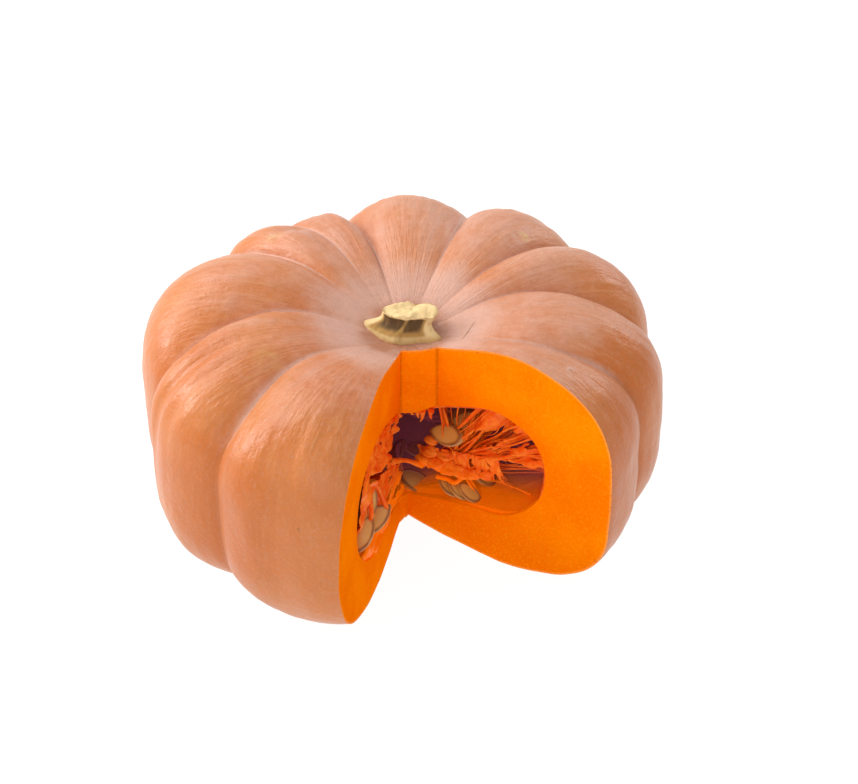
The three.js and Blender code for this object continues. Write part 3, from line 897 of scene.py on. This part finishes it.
class SQUASH_OT_stem(bpy.types.Operator):
    """Makes the corky stem stub with ridges that run out over the skin"""

    bl_idname = "squash.stem"
    bl_label = "Stem"

    def execute(self, context):
        look = context.scene.squash_stem
        skin = Skin(context.scene.squash_fruit)
        seat = skin.point(0, 0).z
        self.hollow_depth, self.hollow_reach = skin.stem_hollow
        height = look.height / MM
        sides, rows, cap_rings = 150, 44, 9
        foot = -8.0  # how far the stem is sunk into the fruit
        shape = bmesh.new()
        bmesh.ops.create_cone(
            shape, cap_ends=True, segments=sides, radius1=1, radius2=1, depth=height - foot
        )
        upright = [e for e in shape.edges if abs(e.verts[0].co.z - e.verts[1].co.z) > 1]
        bmesh.ops.subdivide_edges(shape, edges=upright, cuts=rows, use_grid_fill=True)
        caps = [face for face in shape.faces if abs(face.normal.z) > 0.9]
        for _ in range(cap_rings):
            bmesh.ops.inset_region(shape, faces=caps, thickness=0.1, use_even_offset=True)
        for cap in caps:
            bmesh.ops.poke(shape, faces=[cap])
        layer = shape.loops.layers.uv.new("stem_map")
        places = {}
        for vert in shape.verts:
            angle = math.atan2(vert.co.y, vert.co.x)
            size = math.hypot(vert.co.x, vert.co.y)
            z = vert.co.z + (height + foot) / 2
            vert.co, hollow = self.corky_point(look, angle, size, z, height)
            places[vert] = (hollow, (z - foot) / (height - foot))
        write_map(shape.faces, layer, places)
        bmesh.ops.translate(shape, vec=(0, 0, seat), verts=shape.verts[:])
        settle(piece_from("stem_cork", shape, [stem_finish(look)]), "stem_cork", "stem")
        return {"FINISHED"}

    def corky_point(self, look, angle, size, z, height):
        """A point of the stem, and how deep it lies in a hollow between ridges."""
        flare = 1 - smoothstep(z, *STEM_FLARE)
        opening = smoothstep(z, STEM_OPENING, height)
        broad = lerp(lerp(look.neck_width, look.head_width, opening), look.foot_width, flare) / MM
        deep = lerp(lerp(look.neck_depth, look.head_depth, opening), look.foot_depth, flare) / MM
        reach = broad * deep / math.hypot(deep * math.cos(angle), broad * math.sin(angle))
        ridges = 0
        for azimuth, foot_reach, strength in STEM_RIDGES:
            off = math.remainder(angle - math.radians(azimuth), 2 * math.pi)
            ridge = strength * bell(off, 0, RIDGE_WIDTH)
            ridges += ridge
            reach += ridge * (flare * max(0, foot_reach - RIDGE_START) + 1.5)
        reach -= 0.9 * (1 - min(1, ridges)) * (1 - flare) * (1 - opening * 0.6)
        lean = Vector((look.lean / MM * smoothstep(z, 0, height), 0, 0))
        spot = STEM_MIDDLE + lean + around(math.degrees(angle), size * reach, z)
        if z > height - 0.01:
            broken = 0.9 * size * math.sin(3 * angle + 1)
            spot.z += broken + 0.8 * noise.noise(spot / 3) + 0.9 * noise.noise(spot / 7)
        # The skirt climbs with the skin, which rises away from the axis.
        spot.z += flare * self.hollow_depth * (1 - bell(size * reach, 0, self.hollow_reach))
        knobs = 0.35 * noise.noise(spot / 2.2) + 0.5 * noise.noise(spot / 5)
        spot += around(math.degrees(angle), knobs * min(1, size), 0)
        return spot, 1 - min(1, ridges)


def shade_inside(finish):
    """How far inside the cavity a point lies, the mask of painted shade where little light reaches."""
    x, y, _ = finish.axes(finish.centred())
    inward = x * INTO_RIGHT.x + y * INTO_RIGHT.y
    return inward.step(0.011, 0.036).most(y.step(-0.004, 0.014))


def pulp_finish(look):
    """Wet fibres, smooth on the cavity floor, with painted shade far inside and a glow of painted light
    over the floor and far inside.
    """
    surface = {"roughness": 0.4, "specular_ior_level": 0.1, "emission_strength": 1.0}
    finish = Finish("stringy_pulp", look.pulp_colour, **surface)
    height = finish.axes(finish.centred())[2]
    fibres = finish.noise(170, 4)
    fine = finish.noise(600, 2)
    finish.paint(fibres.step(0.35, 0.68), look.thread_colour)
    floor = 1 - height.step(0.03, 0.044)
    finish.paint(floor * 0.85, look.floor_colour)
    # Painted shade far inside the cavity.
    inside = shade_inside(finish)
    finish.paint(inside, look.deep_colour)
    glow = finish.mix(floor, (0, 0, 0), look.floor_glow)
    finish.feed("Emission Color", finish.mix(inside, glow, look.deep_glow))
    finish.bump(fibres + fine * 0.4, 0.001, 0.6)
    return finish.material


class Threads:
    """Bent round threads gathered in one curve, later turned into a mesh."""

    def __init__(self, name):
        self.curve = bpy.data.curves.new(name, "CURVE")
        self.curve.dimensions = "3D"
        self.curve.bevel_depth = 1
        self.curve.bevel_resolution = 1
        self.curve.resolution_u = 5
        self.curve.use_fill_caps = True

    def add(self, points, radii):
        spline = self.curve.splines.new("BEZIER")
        spline.bezier_points.add(len(points) - 1)
        for knot, point, radius in zip(spline.bezier_points, points, radii):
            knot.co = point
            knot.radius = radius
            knot.handle_left_type = knot.handle_right_type = "AUTO"

    def add_to(self, shape):
        holder = bpy.data.objects.new("threads", self.curve)
        bpy.context.scene.collection.objects.link(holder)
        graph = bpy.context.evaluated_depsgraph_get()
        mesh = bpy.data.meshes.new_from_object(holder.evaluated_get(graph))
        shape.from_mesh(mesh)
        bpy.data.objects.remove(holder)
        bpy.data.meshes.remove(mesh)


class SQUASH_OT_pulp(bpy.types.Operator):
    """Makes the pulp: the lining of the cavity, a cord round the middle, strands and torn webs"""

    bl_idname = "squash.pulp"
    bl_label = "Pulp"

    def execute(self, context):
        look = context.scene.squash_pulp
        self.look = look
        self.cavity = Cavity()
        shape = self.lining()
        threads = Threads("pulp_threads")
        self.cord(threads)
        self.strands(threads)
        self.fine_threads(threads)
        self.curtain(threads)
        threads.add(BRIDGE, BRIDGE_RADII)
        self.hanging(threads)
        threads.add_to(shape)
        self.lumps(shape)
        for web in (self.fan_sheet(), self.left_sheet(), self.flap()):
            mesh = bpy.data.meshes.new("web")
            web.to_mesh(mesh)
            web.free()
            shape.from_mesh(mesh)
            bpy.data.meshes.remove(mesh)
        settle(piece_from("pulp_strings", shape, [pulp_finish(look)]), "pulp", "pulp")
        return {"FINISHED"}

    def lining(self):
        """The fibrous layer on the cavity wall, sunk into the wall low down by both cuts."""
        sweep = LEFT_AZIMUTH - LINING_GAP - RIGHT_AZIMUTH
        shape = turned(self.cavity.section(70, 0.3), 230, math.radians(sweep), RIGHT_AZIMUTH)
        outer = shape.faces[:]
        for face in outer:
            if face.normal.dot(face.calc_center_median() - CAVITY_MIDDLE) > 0:
                face.normal_flip()
        for vert in shape.verts:
            vert.co = self.cavity.sag(vert.co)
        made = bmesh.ops.solidify(shape, geom=outer, thickness=-1.6)
        inner = {v for part in made["geom"] if isinstance(part, bmesh.types.BMFace) for v in part.verts}
        for vert in shape.verts:
            spot = vert.co
            reach = math.hypot(spot.x, spot.y)
            azimuth = math.degrees(math.atan2(spot.y, spot.x)) % 360
            by_left = bell(azimuth, LEFT_AZIMUTH, 9) if azimuth < 300 else 0
            by_right = bell((azimuth + 180) % 360 - 180, RIGHT_AZIMUTH, 13)
            sunk = max(by_left, by_right) * (1 - smoothstep(spot.z, 38, 58))
            along = Vector((azimuth * 0.5, 0, math.atan2(spot.z - CAVITY_MIDDLE.z, reach) * 3))
            fibre = noise.noise(along) + 0.6 * noise.noise(along * 2.3)
            lump = noise.noise(spot / 9)
            depth = 0.5 + 0.7 * fibre + 0.6 * lump + 1.1 * by_left * (0.8 + 0.6 * lump)
            depth = lerp(max(-0.5, depth), -2.8, sunk)
            inward = CAVITY_MIDDLE - spot
            inward.z *= 0.5
            vert.co = spot + inward.normalized() * (depth if vert in inner else -2 * sunk)
        return shape

    def hanging(self, threads):
        """Torn ends that hang from the ceiling behind the upper facet."""
        draw = numbers_from(17)
        ends = 6
        for k in range(ends):
            top = Vector((lerp(-3, 13, (k + next(draw)) / ends), -11.5 + 3 * next(draw), 71))
            fall = lerp(3, 9, next(draw) ** 2)
            middle = top + Vector((next(draw) - 0.5, 0.3, -0.55 * fall))
            end = top + Vector((2 * next(draw) - 1, 0.8, -fall))
            threads.add([top, middle, end], [1.7, 0.9, 0.25])

    def lumps(self, shape):
        """Soft clots of pulp where the strands of the right cut come together."""
        along = Vector(STRAND_WAY).normalized()
        for place, radius in CLOTS:
            middle = Vector(place)
            for vert in bmesh.ops.create_icosphere(shape, subdivisions=4, radius=radius)["verts"]:
                ahead = along * vert.co.dot(along)
                spot = vert.co + ahead * 0.7 + middle
                aside = (spot - along * spot.dot(along)).x
                fibre = Vector((spot.dot(along) / 13, spot.z / 2.6, aside / 2.6))
                rough = 0.3 * noise.noise(fibre) + 0.2 * noise.noise(fibre * 2.1)
                vert.co = middle + (spot - middle) * (0.85 + rough)

    def cord_point(self, angle):
        """A point of the cord's middle line, which wavers in and out and up and down."""
        reach = self.look.cord_reach / MM + 1.6 * math.sin(math.radians(angle * 5))
        height = self.look.cord_height / MM + 2.2 * math.sin(math.radians(angle * 3 + 40))
        return around(angle, reach, height)

    def cord(self, threads):
        """Three plies twisted round each other."""
        plies, steps, swing_reach = 3, 55, 1.3
        thick = self.look.cord_thick / MM * 0.5
        for ply in range(plies):
            points = []
            for k in range(steps + 1):
                angle = lerp(*CORD_ENDS, k / steps)
                swing = math.radians(angle * 6 + ply * 360 / plies)
                twist = around(angle, swing_reach * math.cos(swing), swing_reach * math.sin(swing))
                points.append(self.cord_point(angle) + twist)
            threads.add(points, [thick * (0.8 + 0.5 * noise.noise(p / 6)) for p in points])

    def strand_path(self, draw, crowded):
        """Three points and the thickness of a strand from the cord to the cavity wall."""
        first, last = STRAND_LIMITS
        angle = lerp(-26, -5 if crowded else 248, next(draw))
        share = lerp(0.1, 0.86, next(draw))
        bow = (next(draw) - 0.5) * 14
        sag = 1 + 4 * next(draw)
        drift = (next(draw) - 0.5) * 16
        outer = min(last, max(first, angle + drift))
        root = self.cord_point(angle)
        foot = self.cavity.point(share, 1.4)
        end = around(outer, foot.x, foot.y)
        middle = root.lerp(end, 0.5)
        middle.z -= sag
        if min(last - 1 - angle, angle - first - 1) > 12:
            middle += around(angle + 90, bow, 0)
        return [root, middle, end], lerp(0.9, 1.7, next(draw))

    def strands(self, threads):
        """Stout strands of three plies, the first of them close to the right cut."""
        draw = numbers_from(11)
        for k in range(32):
            points, thick = self.strand_path(draw, k < 12)
            for ply in range(3):
                shift = noise.noise_vector(Vector((k, ply, 3))) * thick * 1.1
                radii = [thick * 0.75, thick * 0.35, thick * 0.7]
                threads.add([points[0] + shift, points[1] + shift * 1.6, points[2] + shift], radii)

    def fine_threads(self, threads):
        """Fine threads, every second of them close to the right cut."""
        draw = numbers_from(29)
        for k in range(self.look.threads):
            (root, middle, end), thick = self.strand_path(draw, k % 2 == 0)
            quarter = root.lerp(middle, 0.55) + noise.noise_vector(Vector((k, 1, 7))) * 2.5
            later = middle.lerp(end, 0.5) + noise.noise_vector(Vector((k, 5, 2))) * 2.5
            thin = thick * 0.32
            radii = [thin, thin * 0.7, thin * 0.6, thin * 0.8, thin * 1.8]
            threads.add([root, quarter, middle, later, end], radii)

    def fan_point(self, hub_share, rim_share, out, back):
        """A point of the torn fan behind the right knife plane."""
        hub = FAN_HUB[0].lerp(FAN_HUB[1], hub_share)
        foot = self.cavity.point(lerp(0.2, 0.56, rim_share), 1.6)
        rim = around(RIGHT_AZIMUTH + 0.6, foot.x, foot.y)
        return hub.lerp(rim, out) + INTO_RIGHT * (2.5 + back)

    def curtain(self, threads):
        """Strands of the torn fan, from its hub to the rim."""
        draw = numbers_from(41)
        count, steps = 20, 5
        for k in range(count):
            rim = (k + next(draw)) / count
            hub = max(0, min(1, rim * 0.7 + 0.25 * (next(draw) - 0.5)))
            back = 5 * next(draw)
            points = []
            for step in range(steps + 1):
                out = step / steps
                waver = noise.noise_vector(Vector((k * 3.1, step * 0.7, 1.5))) * 4.5
                bowed = back * math.sin(math.pi * (0.2 + 0.6 * out))
                points.append(self.fan_point(hub, rim, out, bowed) + waver * math.sin(math.pi * out))
            thick = lerp(0.4, 1.5, next(draw) ** 2)
            threads.add(points, [thick * share for share in (1, 0.8, 0.65, 0.65, 0.85, 1.5)])

    def sheet(self, slots, place, thick):
        """A torn membrane: a grid that lacks the faces a rule names, placed, thickened and softened."""
        shape = bmesh.new()
        bmesh.ops.create_grid(shape, x_segments=96, y_segments=44, size=0.5)
        middles = {face: [part + 0.5 for part in face.calc_center_median().xy] for face in shape.faces}
        torn = [face for face, middle in middles.items() if slots(*middle)]
        bmesh.ops.delete(shape, geom=torn, context="FACES")
        for vert in shape.verts:
            vert.co = place(*(part + 0.5 for part in vert.co.xy))
        bmesh.ops.solidify(shape, geom=shape.faces[:], thickness=thick)
        bmesh.ops.recalc_face_normals(shape, faces=shape.faces[:])
        for _ in range(2):
            axes = {"use_axis_x": True, "use_axis_y": True, "use_axis_z": True}
            bmesh.ops.smooth_vert(shape, verts=shape.verts[:], factor=0.5, **axes)
        return shape

    def fan_sheet(self):
        """Membranes between the hub and the rim by the right cut, slit along their fibres."""

        def slots(along, out):
            bent = along + 0.05 * waves(along * 6, out * 4, 9)
            slit = waves(bent * 13, out * 2.4, 4.2) + 0.35 * waves(bent * 30, out * 6, 1)
            return slit > 0.35 * abs(out - 0.4)

        def place(along, out):
            back = 1.2 + 1.5 * math.sin(along * 23) + 2.6 * waves(along * 9, out * 4, 2)
            return self.fan_point(along * 0.75, along, out, back)

        return self.sheet(slots, place, 1.2)

    def flap(self):
        """A torn flap that hangs from the hub of the fan over the seeds on the floor."""

        def slots(along, out):
            fray = waves(along * 16, out * 2, 6) + 0.5 * waves(along * 40, out * 5, 2)
            return out > 0.7 + 0.45 * fray or fray > 0.5

        def place(along, out):
            hub = FLAP_HUB[0].lerp(FLAP_HUB[1], along)
            fibre = waves(along * 20, out * 3, 3) + 0.6 * waves(along * 50, out * 6, 8)
            arch = math.sin(math.pi * min(1, along * 1.15))
            hang = Vector((4 * out - 2, 0, lerp(9, -7 - 2 * arch, out)))
            return hub + hang + INTO_RIGHT * (0.6 + 1.6 * fibre + 3 * (out - 0.5) ** 2)

        return self.sheet(slots, place, 1.3)

    def left_sheet(self):
        """The curtain of pulp that still hangs by the left cut, with a ragged inner edge."""
        edge = [Vector(point) for point in CURTAIN_EDGE]

        def slots(along, out):
            hole = waves(along * 12, out * 4, 7) + 0.4 * waves(along * 30, out * 9, 3)
            return hole > 0.32 or out > 0.93 + 0.12 * waves(along * 26, 2, 5)

        def place(along, out):
            spot = (len(edge) - 1) * along
            first = min(int(spot), len(edge) - 2)
            inner = edge[first].lerp(edge[first + 1], spot - first)
            outer = self.cavity.point(lerp(0.12, 0.84, along), 0.5)
            reach, height = outer.lerp(inner, out)
            found = self.cavity.sag(around(LEFT_AZIMUTH, reach, height))
            by_seeds = bell(found.z, 42, 13) * smoothstep(reach, 35, 50)
            fibres = waves(along * 34, out * 5, 1) + 0.7 * waves(along * 14, out * 6, 8)
            return found + INTO_LEFT * (1.0 + 1.7 * fibres + 5 * by_seeds - 1.6 * out)

        return self.sheet(slots, place, 1.6)


def seed_finish(look, deep_colour):
    """Seed coats with a darker rim and pale blotches, and painted shade far inside the cavity."""
    finish = Finish("seed_coat", look.coat_colour, roughness=0.42)
    edge, _ = finish.map("seed_map")
    grain = finish.noise(420, 3)
    blotch = finish.noise(140, 2)
    finish.paint(edge.step(0.62, 0.86), look.rim_colour)
    finish.paint(edge.step(0.9, 0.98) * 0.6, look.coat_colour)
    finish.paint(blotch.step(0.4, 0.75) * 0.4, look.blotch_colour)
    # Painted shade far inside the cavity.
    finish.paint(shade_inside(finish) * 0.85, deep_colour)
    finish.bump(grain, 0.0003, 0.4)
    return finish.material


def far_bunch(angle, draw):
    """Seeds side by side round the cavity, points towards the cord."""
    seeds = []
    for k in range(4):
        turn = angle + (k - 1.5) * FAR_STEP
        at = around(turn, FAR_REACH + 5 * (next(draw) - 0.5), FAR_HEIGHT + 3 * next(draw))
        tip = around(turn + 180, 1, 0.25 + 0.2 * next(draw))
        face = around(turn + 180, 0.5, 1) + around(turn + 90, 0.9 * (next(draw) - 0.5), 0)
        seeds.append((at, tip, face))
    return seeds


class SQUASH_OT_seeds(bpy.types.Operator):
    """Makes every bunch of seeds: drop-shaped plates with a raised rim"""

    bl_idname = "squash.seeds"
    bl_label = "Seeds"

    def execute(self, context):
        self.look = context.scene.squash_seeds
        pulp = context.scene.squash_pulp
        materials = [seed_finish(self.look, pulp.deep_colour), pulp_finish(pulp)]
        bunches = dict(BUNCHES)
        draw = numbers_from(5)
        for name, angle in FAR_BUNCHES.items():
            bunches[name] = far_bunch(angle, draw)
        for name, seeds in bunches.items():
            shape = bmesh.new()
            shape.loops.layers.uv.new("seed_map")
            for seed in seeds:
                self.add_seed(shape, *seed)
            tips = [Vector(at) + Vector(tip).normalized() * STRING_AHEAD for at, tip, *_ in seeds]
            string = Threads(name + "_string")
            string.add(tips, [STRING_RADIUS] * len(tips))
            coats = len(shape.faces)
            string.add_to(shape)
            shape.faces.ensure_lookup_table()
            for face in shape.faces[coats:]:
                face.material_index = 1
            settle(piece_from(name + "_coats", shape, materials), "seed_coat", name)
        return {"FINISHED"}

    def add_seed(self, shape, at, tip, face, size=1.0):
        """One seed: a ball pressed to a plate, narrowed to the tip, with a raised rim."""
        layer = shape.loops.layers.uv.verify()
        ahead = Vector(tip).normalized()
        across = Vector(face).cross(ahead).normalized()
        basis = Matrix((ahead, across, ahead.cross(across))).transposed().to_4x4()
        made = bmesh.ops.create_uvsphere(shape, u_segments=40, v_segments=24, radius=1)["verts"]
        places = {}
        sizes = (self.look.length, self.look.width, self.look.thickness)
        length, width, thickness = (size * part / MM for part in sizes)
        for vert in made:
            x, y, z = vert.co
            flat = min(1, math.hypot(x, y))
            narrow = 1 - 0.55 * max(0, x / 2 + 0.1) ** 1.2
            point = 1 - 0.35 * smoothstep(x, 0.55, 1)
            rim = 0.32 * bell(flat, 0.86, 0.07) * math.copysign(1, z)
            plate = math.copysign(abs(z) ** 0.75, z) * 0.8 + rim * (abs(z) > 1e-3)
            vert.co = (x * length / 2, y * width / 2 * narrow * point, plate * thickness / 2 * narrow)
            places[vert] = (flat, x / 2 + 0.5)
        write_map({part for vert in made for part in vert.link_faces}, layer, places)
        bmesh.ops.transform(shape, matrix=Matrix.Translation(at) @ basis, verts=made)


class SQUASH_OT_stage(bpy.types.Operator):
    """Makes the pale floor, the soft light and the camera"""

    bl_idname = "squash.stage"
    bl_label = "Stage"

    def execute(self, context):
        look = context.scene.squash_stage
        scene = context.scene
        self.floor(look)
        world = bpy.data.worlds.new("white_surround")
        world.use_nodes = True
        background = world.node_tree.nodes["Background"]
        background.inputs["Color"].default_value = (1, 1, 1, 1)
        background.inputs["Strength"].default_value = look.sky
        scene.world = world
        for name, place, size, share in LAMPS:
            self.lamp(name, place, size, look.key_power * share)
        aim = STEM_AXIS + CAMERA_AIM * MM
        back = Vector((0, -math.cos(look.elevation), math.sin(look.elevation)))
        lens = bpy.data.cameras.new("camera")
        lens.lens = look.focal_length
        lens.sensor_width = SENSOR_WIDTH
        camera = bpy.data.objects.new("camera", lens)
        camera.location = aim + back * look.distance
        camera.rotation_euler = (math.pi / 2 - look.elevation, 0, 0)
        scene.collection.objects.link(camera)
        scene.camera = camera
        scene.view_settings.view_transform = "Standard"
        return {"FINISHED"}

    def floor(self, look):
        surface = {"roughness": 0.7, "specular_ior_level": 0.1, "emission_strength": 0.93}
        finish = Finish("pale_floor", look.floor_colour, **surface)
        finish.feed("Emission Color", (1, 1, 1))
        speck = finish.noise(900, 2)
        finish.paint(speck * 0.04, look.speck_colour)
        shape = bmesh.new()
        bmesh.ops.create_grid(shape, x_segments=4, y_segments=4, size=FLOOR_REACH)
        floor = object_from("floor", shape, [finish.material])

    def lamp(self, name, place, size, power):
        light = bpy.data.lights.new(name, "AREA")
        light.size = size
        light.energy = power
        lamp = bpy.data.objects.new(name, light)
        lamp.location = place
        aim = LAMP_AIM - Vector(place)
        lamp.rotation_euler = aim.to_track_quat("-Z", "Y").to_euler()
        bpy.context.scene.collection.objects.link(lamp)


SETTINGS = {
    "squash_fruit": SquashFruitSettings,
    "squash_stem": SquashStemSettings,
    "squash_pulp": SquashPulpSettings,
    "squash_seeds": SquashSeedSettings,
    "squash_stage": SquashStageSettings,
}
OPERATORS = (SQUASH_OT_stage, SQUASH_OT_fruit, SQUASH_OT_stem, SQUASH_OT_pulp, SQUASH_OT_seeds)


class SQUASH_PT_pieces(bpy.types.Panel):
    """Lists the pieces of the squash and their settings"""

    bl_label = "Cut winter squash"
    bl_space_type = "VIEW_3D"
    bl_region_type = "UI"
    bl_category = "Squash"

    def draw(self, context):
        for operator in OPERATORS:
            self.layout.operator(operator.bl_idname)
        for name, settings in SETTINGS.items():
            box = self.layout.box()
            for key in settings.__annotations__:
                box.prop(getattr(context.scene, name), key)


CLASSES = (*SETTINGS.values(), *OPERATORS, SQUASH_PT_pieces)


def register():
    for made in CLASSES:
        bpy.utils.register_class(made)
    for name, settings in SETTINGS.items():
        setattr(bpy.types.Scene, name, bpy.props.PointerProperty(type=settings))


def unregister():
    for name in SETTINGS:
        delattr(bpy.types.Scene, name)
    for made in reversed(CLASSES):
        bpy.utils.unregister_class(made)


def main():
    register()
    bpy.ops.squash.stage()
    bpy.ops.squash.fruit()
    bpy.ops.squash.stem()
    bpy.ops.squash.pulp()
    bpy.ops.squash.seeds()


if __name__ == "__main__":
    main()
